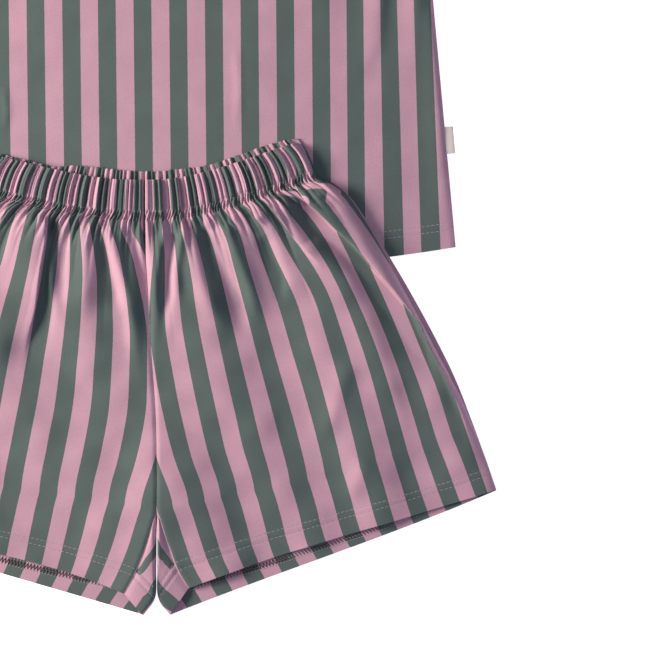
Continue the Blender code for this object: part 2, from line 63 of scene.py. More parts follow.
lights = {
    # name: place in metres, size, watts, colour
    "warm key": ((-1.95, 0.15, 0.92), 0.8, 80.0, "#fff0e6"),
    "cool fill": ((1.7, -0.9, 1.5), 1.4, 8.0, "#cfcaff"),
    "top fill": ((0.1, -0.1, 2.6), 2.2, 9.0, "#f0eeff"),
}
studio = {"aim": (0.15, -0.15, 0.0), "colour": "#e9ecf6", "strength": 0.13}


def linear(hexColour):  # sRGB hex to the linear colour that a node takes
    parts = [int(hexColour[i:i + 2], 16) / 255 for i in (1, 3, 5)]
    return tuple(c / 12.92 if c <= 0.04045 else ((c + 0.055) / 1.055) ** 2.4 for c in parts)


def addLights():
    for name, (place, size, watts, colour) in lights.items():
        data = bpy.data.lights.new(name, "AREA")
        data.size = size
        data.energy = watts
        data.color = linear(colour)
        lamp = bpy.data.objects.new(name, data)
        bpy.context.scene.collection.objects.link(lamp)
        lamp.location = place
        aim = np.array(studio["aim"]) - np.array(place)
        flat = math.hypot(aim[0], aim[1])
        lamp.rotation_euler = (math.atan2(flat, -aim[2]), 0.0, math.atan2(-aim[0], aim[1]))
    world = bpy.data.worlds.new("studio")
    world.use_nodes = True
    background = world.node_tree.nodes["Background"]
    background.inputs["Color"].default_value = (*linear(studio["colour"]), 1.0)
    background.inputs["Strength"].default_value = studio["strength"]
    bpy.context.scene.world = world
    bpy.context.scene.view_settings.view_transform = "Standard"


addCamera()
addLights()
print("camera and lights are in")


# ---- materials
def addNode(tree, kind, inputs=None, into=None, **settings):
    # an input is a value, a socket, or a node, which gives its first output
    node = tree.nodes.new("ShaderNode" + kind)
    for key, value in settings.items():
        setattr(node, key, value)
    for key, value in (inputs or {}).items():
        if isinstance(value, bpy.types.Node):
            value = value.outputs[0]
        if isinstance(value, bpy.types.NodeSocket):
            tree.links.new(value, node.inputs[key])
        else:
            node.inputs[key].default_value = value
    if into is not None:
        tree.links.new(node.outputs[0], into)
    return node


def maths(tree, operation, *values):
    return addNode(tree, "Math", dict(enumerate(values)), operation=operation)


def tint(tree, shader, colour, height, tones, span=(0.0, 1.0)):
    # the colour, darker and lighter by those tones as the height goes through the span
    tone = addNode(tree, "MapRange", {"Value": height, "From Min": span[0], "From Max": span[1],
                                      "To Min": tones[0], "To Max": tones[1]})
    addNode(tree, "HueSaturation", {"Color": colour, "Value": tone},
            into=shader.inputs["Base Color"])


def newMaterial(name, roughness, sheen=0.0):
    material = bpy.data.materials.new(name)
    material.use_nodes = True
    shader = material.node_tree.nodes["Principled BSDF"]
    shader.inputs["Roughness"].default_value = roughness
    shader.inputs["Sheen Weight"].default_value = sheen
    shader.inputs["Sheen Roughness"].default_value = 0.6
    shader.inputs["Specular IOR Level"].default_value = 0.25  # fibre scatters more than it shines
    return material, material.node_tree, shader


jersey = {
    "stripe": 16.35,  # width of one stripe
    "pink": "#c9a1b2", "green": "#596b67",
    "wale": 1.3, "course": 1.0,  # real ones are 0.7, drawn coarser to show
    "roughness": 0.88, "sheen": 0.12, "relief": 0.12,
    "printBlur": 0.05,  # soft edge of the print, as a share of its wave
    "printStray": 0.0004,  # metres that the edge wanders
}


def stripedJersey(name):
    # Printed single jersey in cotton: matt, with a faint bloom of loose fibre at its edges,
    # fine columns of knit loops, and colour that is a little uneven where the dye took.
    material, tree, shader = newMaterial(name, jersey["roughness"], jersey["sheen"])
    uv = addNode(tree, "UVMap", uv_map="cloth")
    parts = addNode(tree, "SeparateXYZ", {"Vector": uv}).outputs
    # the print: even stripes with soft edges
    blur = addNode(tree, "TexNoise", {"Vector": uv, "Scale": 260.0, "Detail": 1.0})
    edge = maths(tree, "MULTIPLY", blur, jersey["printStray"])
    place = maths(tree, "ADD", parts["X"], edge)
    turn = maths(tree, "MULTIPLY", place, math.pi * 1000 / jersey["stripe"])
    wave = maths(tree, "SINE", turn)
    isGreen = addNode(tree, "MapRange", {"Value": wave, "From Min": -jersey["printBlur"],
                      "From Max": jersey["printBlur"]}, interpolation_type="SMOOTHSTEP")
    # a Mix node's colours go in at 6 and 7 and come out at 2
    stripes = addNode(tree, "Mix", {"Factor": isGreen, 6: (*linear(jersey["pink"]), 1),
                      7: (*linear(jersey["green"]), 1)}, data_type="RGBA")
    # knit: a V-shaped loop in each wale and course, under loose fibre
    fold = maths(tree, "MULTIPLY", parts["X"], 1000 / jersey["wale"])
    half = maths(tree, "PINGPONG", fold, 0.5)
    rise = maths(tree, "MULTIPLY", parts["Y"], 1000 / jersey["course"])
    lean = maths(tree, "MULTIPLY_ADD", half, 1.1, rise)
    spin = maths(tree, "MULTIPLY", lean, 2 * math.pi)
    loop = maths(tree, "SINE", spin)
    knit = maths(tree, "MULTIPLY_ADD", loop, 0.35, half)
    fuzz = addNode(tree, "TexNoise", {"Vector": uv, "Scale": 1400.0, "Detail": 2.0})
    relief = maths(tree, "MULTIPLY_ADD", fuzz, 0.5, knit)
    addNode(tree, "Bump", {"Height": relief, "Strength": 0.35, "Distance": jersey["relief"] / 1000},
            into=shader.inputs["Normal"])
    # uneven dye, and the darker gaps between loops
    cloud = addNode(tree, "TexNoise", {"Vector": uv, "Scale": 28.0, "Detail": 3.0})
    grain = addNode(tree, "TexNoise", {"Vector": uv, "Scale": 620.0, "Detail": 2.0})
    both = maths(tree, "MULTIPLY_ADD", grain, 0.9, cloud)
    tint(tree, shader, stripes.outputs[2], both, (0.9, 1.1), (0.6, 1.3))
    return material


rib = {"width": 1.6, "relief": 0.2, "roughness": 0.9, "sheen": 0.12}


def ribKnit(name):
    # One by one rib in dyed cotton: soft upright ribs, with painted shade darkening the groove
    # beside each.
    material, tree, shader = newMaterial(name, rib["roughness"], rib["sheen"])
    uv = addNode(tree, "UVMap", uv_map="cloth")
    parts = addNode(tree, "SeparateXYZ", {"Vector": uv}).outputs
    turn = maths(tree, "MULTIPLY", parts["X"], 2 * math.pi * 1000 / rib["width"])
    ribs = maths(tree, "SINE", turn)
    addNode(tree, "Bump", {"Height": ribs, "Strength": 0.6, "Distance": rib["relief"] / 1000},
            into=shader.inputs["Normal"])
    # the grooves are darker in colour than the ribs: painted shade
    tint(tree, shader, (*linear(jersey["pink"]), 1), ribs, (0.8, 1.05), (-1.0, 1.0))
    return material


def spunThread(name, colour):
    # Spun polyester sewing thread: pale, slightly glossy, twisted.
    material, tree, shader = newMaterial(name, 0.6)
    spot = addNode(tree, "TexCoord").outputs["Object"]
    twist = addNode(tree, "TexNoise", {"Vector": spot, "Scale": 900.0, "Detail": 2.0})
    tint(tree, shader, (*linear(colour), 1), twist, (0.85, 1.12))
    return material


def satinRibbon(name, colour):
    # Woven satin ribbon in polyester: cream, smooth, with a fine cross rib whose grooves are
    # darkened by painted shade.
    material, tree, shader = newMaterial(name, 0.45)
    spot = addNode(tree, "TexCoord").outputs["Object"]
    weave = addNode(tree, "TexWave", {"Vector": spot, "Scale": 420.0, "Distortion": 0.3},
                    bands_direction="Y").outputs["Fac"]
    addNode(tree, "Bump", {"Height": weave, "Strength": 0.35, "Distance": 0.0001},
            into=shader.inputs["Normal"])
    # the same wave darkens the colour in the rib's grooves: painted shade
    tint(tree, shader, (*linear(colour), 1), weave, (0.92, 1.02))
    return material


def paintedBoard(name, colour, glow):
    # Matt white painted board, the table that the set lies on. Its glow keeps it as pale as
    # the photo's ground, which shows almost no shadow.
    material, tree, shader = newMaterial(name, 0.9)
    spot = addNode(tree, "TexCoord").outputs["Object"]
    grain = addNode(tree, "TexNoise", {"Vector": spot, "Scale": 30.0, "Detail": 2.0})
    tint(tree, shader, (*linear(colour), 1), grain, (0.99, 1.01))
    shader.inputs["Emission Color"].default_value = (*linear("#ffffff"), 1)
    shader.inputs["Emission Strength"].default_value = glow
    return material


jerseyLook = stripedJersey("printed cotton jersey")
ribLook = ribKnit("cotton rib")
threadLook = spunThread("mauve sewing thread", "#b5a8b0")
loopLook = spunThread("cream looper thread", "#cdb9ad")
# real looper thread, made near black as painted shade where the front's hem shades the back
coverThreadAndShadeLook = spunThread("dark looper thread and painted shade", "#4b3a3c")
ribbonLook = satinRibbon("satin ribbon", "#f6f1e6")
boardLook = paintedBoard("white board", "#fbfbfc", 0.75)
print("materials are mixed")

# ---- lines and folds that the panels are cut to
wall = 0.9  # thickness of the jersey
teeHeight = 2.3  # top of the tee's front over the table
crotchV = 306.0  # v runs down the shorts from their waist edge
# each row: v, then x, y and the slope there of the panel's cross section
centreLine = ((0, -6.9, -59.4, -0.05), (34, -6.9, -93.2, -0.03), (62, -6.3, -120, 0.0),
              (90, -4.8, -147, 0.02), (131, -3.2, -188, 0.03), (177, 0, -233, 0.05),
              (218, 2.8, -274, 0.08), (259, 4.1, -315, 0.12), (306, 4.3, -361, 0.2))
sideLine = ((0, 132.5, -25.5, 0.3), (8, 138.5, -32, 0.31), (17, 144, -41, 0.32),
            (26, 147.7, -49.4, 0.32), (34, 151.5, -56, 0.33), (43, 163, -60.8, 0.36),
            (62, 179, -72, 0.42), (90, 195.5, -94, 0.48), (131, 217.5, -129, 0.52),
            (177, 240.5, -168, 0.52), (218, 260.5, -205, 0.5), (259, 278, -241, 0.46),
            (298, 292.5, -278, 0.42), (340, 305, -312, 0.36), (376, 315.3, -341.8, 0.33))
inseams = {1: ((306, 4.3, -361, 0.2), (340, 14.5, -393.5, 0.3), (359, 23, -416, 0.38),
               (376, 32.9, -432.3, 0.4)),
           -1: ((306, 4.3, -361, 0.2), (340, -8.5, -402, 0.3), (359, -16.5, -420.5, 0.4),
                (376, -25.6, -436.9, 0.42))}
innerFolds = {1: ((306, 4.3, -361, 0.2), (323, 4.6, -388, 0.25), (340, 4.6, -414, 0.3),
                  (359, 5.2, -441, 0.38), (376, 15.5, -457, 0.4)),
              -1: ((306, 4.3, -361, 0.2), (323, 4.0, -388, 0.25), (340, 3.7, -414, 0.3),
                   (359, 2.6, -441, 0.36), (376, -8.2, -457, 0.3))}
# v, height
loft = ((0, 5.6), (34, 5.6), (60, 7.0), (120, 7.0), (200, 5.8), (300, 4.4), (360, 3.4), (376, 3.2))
innerRidge = ((0, 0), (215, 0), (260, 4), (306, 8.5), (340, 6), (376, 2.6))

shortsFolds = (
    # path from its top to its foot, run towards -X, run towards +X, height, lean to -X
    (((10, -104), (4, -150), (3, -190)), 5, 5, 3.0, 0),
    (((21, -106), (14, -150), (8, -214)), 5, 5, -3.0, 0),
    (((29, -100), (22, -138), (24, -180)), 5, 5, 3.6, 0),
    (((33, -104), (44, -145), (56, -179), (73, -207)), 10, 9, 5.2, 0),
    (((47, -100), (59, -130), (70, -154), (79, -182), (86, -205)), 7, 6, -4.4, 0),
    (((67, -98), (77, -124), (90, -157), (100, -196)), 7, 9, 5.0, 0),
    (((103, -108), (116, -148), (119, -176)), 7, 6, -4.0, 0),
    (((60, -85), (71, -94), (80, -101)), 3, 8, 3.4, 3.0),
    (((86, -79), (95, -90), (105, -101)), 3, 9, 3.8, 3.0),
    (((101, -72), (113, -84), (124, -97), (129, -106), (140, -117), (151, -130), (158, -143)),
     3.5, 12, 5.0, 3.5),
    (((152, -108), (176, -148), (200, -200), (222, -260), (240, -330)), 18, 13, 4.4, 0),
    (((133, -76), (150, -92), (168, -109), (190, -132), (212, -158), (233, -184), (250, -218),
      (264, -262)), 14, 5, -8.0, 0),
    (((138, -84), (156, -102), (176, -124)), 9, 4, -6.0, 0),
    (((131, -64), (154, -83), (169, -98), (188, -115), (204, -134), (225, -157), (238, -173),
      (250, -188), (259, -210), (272, -238), (288, -279), (295, -320)), 4, 20, 6.5, 4.5),
    (((181, -226), (154, -305)), 9, 9, 1.8, 0),
    (((196, -312), (178, -360)), 9, 9, 1.8, 0),
    (((-19, -98), (-14, -122), (-8, -146), (-5, -173), (-3, -220)), 5, 4, -3.6, 0),
    (((-42, -98), (-32, -132), (-20, -170), (-11, -246)), 7, 7, 3.8, 0),
    (((-46, -112), (-36, -150), (-30, -186)), 6, 6, -2.6, 0),
    (((-61, -100), (-58, -132), (-63, -196)), 9, 11, 4.8, 0),
    (((-79, -104), (-84, -122), (-82, -168), (-79, -192)), 6, 6, -2.6, 0),
    (((-79, -98), (-92, -135), (-93, -178)), 5, 5, 3.2, 0),
    (((-99, -86), (-101, -117), (-105, -138), (-108, -160), (-112, -184), (-120, -225)),
     15, 4, 5.0, -3.5),
    (((-90, -84), (-92, -117), (-96, -140), (-100, -165), (-105, -195), (-116, -240)),
     4, 10, -5.0, 0),
    (((-120, -96), (-130, -168), (-146, -262)), 14, 12, 2.4, 0),
    (((-150, -104), (-181, -150), (-215, -222), (-234, -318)), 9, 9, -3.6, 0),
    (((-146, -90), (-198, -148), (-247, -220), (-286, -330)), 24, 5, 5.6, -3.0),
)
teeFolds = (
    (((150, 330), (158, 210), (157, 62)), 26, 12, 3.4, 0),
    (((222, 300), (214, 180), (206, 70), (176, 16)), 14, 7, 2.8, 0),
    (((252, 300), (245, 180), (240, 60), (238, 16)), 11, 8, 2.4, 0),
    (((256, 100), (262, 0), (267, -118)), 12, 8, 2.2, 0),
    (((-160, 350), (-172, 200), (-164, 60)), 14, 26, 3.2, 0),
    (((-232, 290), (-220, 150), (-196, 30)), 12, 12, 2.0, 0),
    (((76, 62), (79, 30), (76, -22)), 3, 4, 0.7, 0),
    (((-136, 26), (-133, 4), (-137, -14)), 3, 3, 1.1, 0),
)


def unit(t):
    return np.clip(t, 0.0, 1.0)


def softStep(t):
    t = unit(t)
    return t * t * (3.0 - 2.0 * t)


def bell(gap, run):
    return np.exp(-(gap / run) ** 2)


def smoothBetween(a, slopeA, b, slopeB, span, t):  # from a to b, with those slopes at the ends
    return ((2 * t**3 - 3 * t**2 + 1) * a + (t**3 - 2 * t**2 + t) * span * slopeA
            + (3 * t**2 - 2 * t**3) * b + (t**3 - t**2) * span * slopeB)


def curveThrough(keys, values, q):  # a smooth curve; values is one list, or a list for each q
    keys = np.asarray(keys, dtype=float)
    values = np.asarray(values, dtype=float)
    slopes = np.gradient(values, keys, axis=-1)
    q = np.clip(q, keys[0], keys[-1])
    k = np.clip(np.searchsorted(keys, q) - 1, 0, len(keys) - 2)
    span = keys[k + 1] - keys[k]
    t = (q - keys[k]) / span

    def pick(table, at):
        if table.ndim == 1:
            return table[at]
        return np.take_along_axis(table, at[..., None], -1)[..., 0]
    return smoothBetween(pick(values, k), pick(slopes, k), pick(values, k + 1), pick(slopes, k + 1),
                         span, t)


def along(table, v):  # the other columns of a table at v
    rows = np.array(table, dtype=float)
    return np.stack([curveThrough(rows[:, 0], rows[:, c], v) for c in range(1, rows.shape[1])], -1)


def level(table, v):  # the second column of a table at v, in straight runs
    rows = np.array(table, dtype=float)
    return np.interp(v, rows[:, 0], rows[:, 1])


def section(start, end, s):  # a cross section between two lines, each x, y and slope
    run = end[..., 0] - start[..., 0]
    y = smoothBetween(start[..., 1], start[..., 2], end[..., 1], end[..., 2], run, s)
    return start[..., 0] + run * s, y


def mirrored(points):  # in the centre seam, which leans a little
    top, foot = np.array(centreLine[0][1:3]), np.array(centreLine[-1][1:3])
    axis = (foot - top) / np.linalg.norm(foot - top)
    across = np.array((-axis[1], axis[0]))
    spots = points[..., :2]
    spots = spots - 2.0 * ((spots - top) @ across)[..., None] * across
    tilt = 2.0 * math.atan2(axis[1], axis[0]) - np.arctan(points[..., 2])
    return np.concatenate((spots, np.tan(tilt)[..., None]), -1)


def ripple(x, y, size, seed):  # soft unevenness between -1 and 1
    pick = np.random.default_rng(seed)
    total = np.zeros_like(x)
    for _ in range(7):
        angle, long = pick.uniform(0, math.pi), size * pick.uniform(0.7, 1.5)
        turn = 2 * math.pi * (x * math.cos(angle) + y * math.sin(angle)) / long
        total += np.sin(turn + pick.uniform(0, 2 * math.pi))
    return total / 4.0


foldEnds = {"topRun": 14.0, "topStart": 0.3, "footRun": 0.4}  # how a fold starts and dies out


def foldsAt(folds, x, y):  # height of the folds at x, y, and how far they lean sideways
    total, leanX, leanY = np.zeros_like(x), np.zeros_like(x), np.zeros_like(x)
    for path, minusRun, plusRun, height, lean in folds:
        nearest = np.full_like(x, 1e9)
        place, offset = np.zeros_like(x), np.zeros_like(x)
        wayX, wayY = np.zeros_like(x), np.zeros_like(x)
        steps = [math.dist(a, b) for a, b in zip(path, path[1:])]
        done = 0.0
        for (ax, ay), (bx, by), step in zip(path, path[1:], steps):
            dx, dy = (bx - ax) / step, (by - ay) / step
            run = np.clip((x - ax) * dx + (y - ay) * dy, 0.0, step)
            gapX, gapY = x - ax - dx * run, y - ay - dy * run
            gap = np.hypot(gapX, gapY)
            closer = gap < nearest
            nearest = np.where(closer, gap, nearest)
            place = np.where(closer, done + run, place)
            offset = np.where(closer, dx * gapY - dy * gapX, offset)
            wayX, wayY = np.where(closer, -dy, wayX), np.where(closer, dx, wayY)
            done += step
        reach = np.where(offset > 0.0, plusRun, minusRun)
        toFoot = (sum(steps) - place) / (foldEnds["footRun"] * sum(steps))
        taper = softStep(place / foldEnds["topRun"] + foldEnds["topStart"]) * softStep(toFoot)
        profile = taper * bell(nearest, reach)
        total += height * profile
        leanX -= lean * wayX * profile
        leanY -= lean * wayY * profile
    return total, leanX, leanY


teeHemLine = {"middle": -142.6, "rise": 23.0, "halfWidth": 278.0}
offTee = {"clear": 0.7, "end": 46.0, "run": 30.0}  # the shorts' way down past the tee's hem


def teeHem(x):
    return teeHemLine["middle"] + teeHemLine["rise"] * (x / teeHemLine["halfWidth"]) ** 2


def ground(x, y):  # what the shorts lie on: the tee, then the table below its hem
    below = teeHem(x) - y
    return (teeHeight + offTee["clear"]) * softStep((offTee["end"] - below) / offTee["run"])


def clothGrid(name, columns, rows, shape, look, thick=wall):
    # a plane of cloth: shape(s, t) gives its points in millimetres and its place on the bolt
    bpy.ops.object.select_all(action="DESELECT")
    bpy.ops.mesh.primitive_grid_add(x_subdivisions=columns, y_subdivisions=rows, size=1.0)
    piece = bpy.context.active_object
    piece.name = piece.data.name = name
    mesh = piece.data
    count = len(mesh.vertices)
    spots = np.empty(count * 3)
    mesh.vertices.foreach_get("co", spots)
    spots = spots.reshape(-1, 3)
    order = np.lexsort((spots[:, 0], np.round(spots[:, 1], 5)))
    wide = len(np.unique(np.round(spots[:, 0], 5)))
    s = (spots[order, 0] + 0.5).reshape(-1, wide)
    t = (spots[order, 1] + 0.5).reshape(-1, wide)
    x, y, z, across, down = shape(s, t)
    placed = np.empty((count, 3))
    placed[order] = np.stack((x.ravel(), y.ravel(), z.ravel()), -1) / 1000
    mesh.vertices.foreach_set("co", placed.ravel())
    bolt = np.empty((count, 2))
    bolt[order] = np.stack((across.ravel(), down.ravel()), -1) / 1000
    corners = np.empty(len(mesh.loops), dtype=int)
    mesh.loops.foreach_get("vertex_index", corners)
    mesh.uv_layers[0].name = "cloth"
    mesh.uv_layers[0].data.foreach_set("uv", bolt[corners].ravel())
    mesh.update()
    normals = np.empty(len(mesh.polygons) * 3)
    mesh.polygons.foreach_get("normal", normals)
    if normals[2::3].sum() < 0:  # every panel faces up
        mesh.flip_normals()
    mesh.materials.append(look)
    solidify = piece.modifiers.new("cloth wall", "SOLIDIFY")
    solidify.thickness = thick / 1000
    solidify.offset = -1.0
    bpy.ops.object.modifier_apply(modifier=solidify.name)
    bpy.ops.object.shade_smooth_by_angle(angle=math.radians(70))
    return piece


def rowList(*stretches):  # v at each row, from (from, to, rows) stretches
    rows = [stretches[0][0]]
    for start, end, count in stretches:
        rows += list(np.linspace(start, end, count + 1)[1:])
    return np.array(rows, dtype=float)


# ---- shorts
shorts = {
    "pleats": 28, "pleatHeight": 4.2,  # in each panel's casing
    "casing": 34.4,  # waist edge to the lower stitching
    "upperRow": 28.0,
    "hemRows": (17.0, 23.3),  # up from the hem
    "coverRows": (8.3, 14.3),  # the same inside the back, which hangs lower
    "hemDepth": 25.0,
    "length": 376.0,
}
# v, strength; then for the waves that the pleats open into: how many, and their v and height
pleatStrength = ((0, 0.75), (4, 1.0), (24, 0.95), (28, 0.5), (31, 0.72), (34.4, 0.5), (38, 0.85),
                 (50, 0.4), (66, 0.1), (84, 0.0))
gatherWaves = ((23, ((32, 1.0), (40, 2.6), (50, 1.8), (68, 0.0))),
               (13, ((35, 0.8), (44, 3.0), (58, 2.4), (76, 1.2), (104, 0.0))),
               (7, ((40, 0.0), (74, 1.8), (120, 1.0), (165, 0.0))))

overlap = {
    # the visible edge of the side overlap as -y, x, and the stripes hidden in it at each v
    "edge": ((52, 122), (60, 126), (68, 129), (79, 141), (87, 150), (93, 157), (102, 165.5),
             (111, 175), (119, 184), (126, 191), (138, 200), (149, 209.5), (161, 221), (168, 227),
             (176, 233), (190, 245), (213, 254), (240, 267), (281, 283), (320, 296)),
    "hidden": ((34, 0), (41, 2.6), (70, 2.6), (88, 2.4), (130, 2.05), (160, 1.5), (182, 0.95),
               (198, 0.65), (223, 0.5), (254, 0.3), (297, 0.08), (320, 0)),
}
stripeShares = (0, 0.25, 0.5, 0.75, 0.86, 0.93, 1)
frontStripes = {
    # v, then the count of stripes from the centre seam at those shares of the way to the side
    1: ((0, 0.9, 5.6, 10.0, 14.6, 16.9, 18.3, 19.8),
        (28, 0.9, 5.6, 10.0, 14.8, 17.4, 18.7, 20.2),
        (34, 0.9, 5.5, 9.95, 15.0, 17.9, 19.1, 20.4),
        (42, 1.0, 5.9, 9.7, 14.5, 16.0, 16.8, 17.7),
        (60, 1.1, 5.85, 9.55, 14.4, 15.95, 16.8, 17.7),
        (90, 1.6, 5.75, 9.6, 13.9, 15.9, 16.95, 17.9),
        (131, 2.0, 5.7, 9.5, 13.4, 15.95, 17.2, 18.2),
        (177, 1.85, 5.65, 9.55, 13.55, 16.0, 17.5, 18.8),
        (218, 1.55, 5.55, 9.55, 13.8, 16.2, 17.75, 19.1),
        (259, 0.93, 5.35, 9.5, 14.05, 16.4, 17.87, 19.35),
        (300, 0.0, 4.95, 9.45, 14.15, 16.5, 18.0, 19.6),
        (340, -0.1, 5.05, 9.6, 14.3, 16.55, 17.95, 19.75),
        (376, -0.05, 5.45, 9.95, 14.5, 16.6, 17.95, 19.8)),
    -1: ((0, -0.2, 4.4, 8.6, 12.95, 15.3, 16.8, 18.3),
         (28, -0.2, 4.4, 8.6, 12.95, 15.3, 16.8, 18.3),
         (36, -0.3, 4, 8.5, 13, 15.44, 17, 18.3),
         (48, -0.1, 4.5, 8.95, 13.4, 15.6, 17, 18.3),
         (60, 0.6, 4.9, 9.25, 13.6, 15.8, 17.2, 18.4),
         (90, 1.3, 5.4, 9.5, 13.75, 15.95, 17.35, 18.4),
         (131, 1.8, 5.55, 9.55, 13.5, 15.7, 17.1, 18.3),
         (177, 1.7, 5.5, 9.5, 13.55, 15.81, 17.25, 18.3),
         (218, 1.45, 5.4, 9.5, 13.8, 16.18, 17.7, 19.6),
         (259, 0.88, 5.15, 9.45, 14.05, 16.4, 17.9, 20.1),
         (300, 0.1, 4.9, 9.4, 14.15, 16.47, 17.95, 20.1),
         (340, -0.05, 5.1, 9.6, 14.3, 16.5, 17.9, 20.05),
         (376, -0.05, 5.6, 9.95, 14.5, 16.58, 17.9, 20.05)),
}
evenShares = (0, 0.25, 0.5, 0.75, 1)
backStripes = {
    # v, then the count for a back panel at even shares of the way to the side
    1: ((0, -0.25, 3.85, 8.8, 14.0, 20.0), (60, 0.3, 5.0, 10.0, 15.5, 21.0),
        (306, 0.5, 5.7, 10.9, 16.0, 21.1), (376, 0.9, 6.2, 10.95, 16.05, 21.1)),
    -1: ((0, -0.6, 3.85, 8.1, 12.6, 18.5), (60, 0.0, 5.0, 10.0, 15.0, 20.5),
         (306, -0.2, 5.1, 10.3, 15.5, 20.7), (376, -0.45, 5.3, 10.4, 15.6, 20.7)),
}
wrapStripes = {
    # v, then the count at even shares of the way from the inseam to the fold of the inner leg;
    # it jumps at the hem's upper stitching, where the turned-up cloth lies a little aside
    1: ((306, -4.95, -4.93, -4.92, -4.91, -4.9), (322, -4.75, -4.6, -4.4, -4.2, -4.05),
        (333, -4.8, -4.4, -3.92, -3.3, -2.75), (343, -4.65, -3.85, -2.95, -2.5, -2.1),
        (348, -4.5, -3.3, -2.7, -2.28, -1.85), (352.5, -4.2, -2.95, -2.45, -2.08, -1.65),
        (354, -2.95, -2.7, -2.4, -2.0, -1.6), (360, -2.95, -2.6, -2.22, -1.83, -1.35),
        (367, -2.9, -2.5, -2.1, -1.55, -1.03), (376, -2.9, -2.45, -1.97, -1.3, -0.7)),
    -1: ((306, -4.95, -4.93, -4.92, -4.91, -4.9), (322, -4.8, -4.65, -4.5, -4.35, -4.2),
         (328, -4.8, -4.55, -4.3, -4.0, -3.6), (333, -4.75, -4.4, -3.9, -3.35, -2.8),
         (340, -4.6, -3.85, -3.2, -2.6, -2.3), (347, -4.4, -3.4, -2.7, -2.3, -1.9),
         (353, -4.1, -2.9, -2.45, -2.0, -1.3), (355, -2.95, -2.7, -2.4, -1.95, -1.1),
         (359, -2.95, -2.65, -2.3, -1.9, -0.95), (365, -2.9, -2.6, -2.2, -1.7, -0.8),
         (376, -2.9, -2.6, -2.25, -1.7, -0.75)),
}


drape = {
    # how the fronts stand over what they lie on
    "low": 1.4, "crown": 1.5, "sideRun": 12.0,  # at the side fold, and rounding up from it
    "soft": 2.9,  # lower forms than this are smoothed over
    "opens": (36.0, 16.0),  # where folds come out of the casing, and run
    "ridgeRun": 34.0,  # of the inner leg's ridge, beside the seam
    "fine": (5, 0.22),  # small pleats: count past two a pleat, height
    "puckers": (56, 1.15),  # between the casing's rows: count, height
    "crumple": (0.5, 11.0),  # just under the casing: height, size
    "dents": (0.8, 42.0), "swells": (3.7, 75.0),  # on the legs: height, size
    "carry": 15.0, "across": (0.87, 0.5),  # lean that moves the print by one stripe
    "seamGap": 0.15,  # half the gap at a seam
    "seamDip": (1.1, 1.8),  # at a sewn seam: depth, run
}
hemRelief = {"rise": 0.3, "edge": 1.5, "dip": 0.3, "dipRun": 1.1}


def roundEdge(t):  # a quarter circle: 0 at the edge, and 1 from t = 1 on
    return np.sqrt(1.0 - (1.0 - unit(t)) ** 2)


def stitchDip(toHem, rows):  # where rows of stitching draw the cloth in
    return sum(bell(toHem - row, hemRelief["dipRun"]) for row in rows)


def uneven(side, s, count, seed, low, high):  # waves of uneven width and height, 0 in each valley
    pick = np.random.default_rng(seed + side)
    edges = np.concatenate(((0.0,), np.cumsum(pick.uniform(0.55, 1.45, count))))
    phase = np.interp(s, edges / edges[-1], np.arange(count + 1))
    tall = np.append(pick.uniform(low, high, count), high)
    return np.abs(np.sin(math.pi * phase)) ** 0.8 * tall[np.clip(phase.astype(int), 0, count)]


def outOfCasing(v):  # 0 in the casing, 1 where the folds hang free
    start, run = drape["opens"]
    return softStep((v - start) / run)


def frontLines(side, v):
    inner = np.where((v <= crotchV)[..., None], along(centreLine, v), along(inseams[side], v))
    outer = along(sideLine, v)
    return inner * np.array((1.0, 1.0, side)), outer if side > 0 else mirrored(outer)


def frontPoint(side, s, v):  # outer face of a front panel
    start, end = frontLines(side, v)
    x, y = section(start, end, s)
    toSide = np.hypot(x - end[..., 0], y - end[..., 1])
    toSeam = np.hypot(x - start[..., 0], y - start[..., 1])
    x = x + side * drape["seamGap"] * (1.0 - s)
    folds, leanX, leanY = foldsAt(shortsFolds, x, y)
    opened = outOfCasing(v)
    ridge = level(innerRidge, v) * bell(x - along(centreLine, v)[..., 0], drape["ridgeRun"])
    height = level(loft, v) + ridge + folds * opened
    # the casing's pleats, the waves that they open into, and the puckers between its stitchings
    more, fineHeight = drape["fine"]
    pleats = uneven(side, s, shorts["pleats"], 40, 0.45, 1.2)
    fine = uneven(side, s, 2 * shorts["pleats"] + more, 44, 0.1, 1.0)
    strength = shorts["pleatHeight"] * level(pleatStrength, v)
    height += strength * (pleats + fineHeight * fine)
    for waves, heights in gatherWaves:
        wave = uneven(side, s + 0.01 * np.sin(17 * s), waves, 60, 0.6, 1.2)
        height += level(heights, v) * wave
    between = softStep((v - 26.0) / 3.0) * softStep((38.0 - v) / 3.0)
    lean = side * (v - 31.0) * 0.12 + 0.5 * ripple(x, y, 23.0, 9)
    puckers, puckerHeight = drape["puckers"]
    height += puckerHeight * between * np.sin(2 * math.pi * (puckers * s + lean))
    # softer unevenness, just under the casing and on the legs
    tall, size = drape["crumple"]
    height += tall * opened * ripple(x, y, size, 13) * softStep((70.0 - v) / 30.0)
    (dents, dentSize), (swells, swellSize) = drape["dents"], drape["swells"]
    onLeg = (dents * ripple(x, y, dentSize, 5)
             + swells * ripple(x + 0.5 * y, 0.3 * y, swellSize, 15))
    height += opened * softStep((v - 60.0) / 60.0) * onLeg
    # the turned hem and its stitching
    toHem = shorts["length"] - v
    height += hemRelief["rise"] * softStep((shorts["hemDepth"] - toHem) / hemRelief["edge"])
    height -= hemRelief["dip"] * stitchDip(toHem, shorts["hemRows"])
    spare = height - drape["soft"]
    over = 0.5 * (spare + np.sqrt(spare**2 + 1.0))
    rising = (drape["crown"] + over) * roundEdge(toSide / drape["sideRun"])
    depth, run = drape["seamDip"]
    z = ground(x, y) + drape["low"] + rising - depth * bell(toSeam, run)
    lift = opened * unit(over / 6.0)
    return x + leanX * lift, y + leanY * lift, z


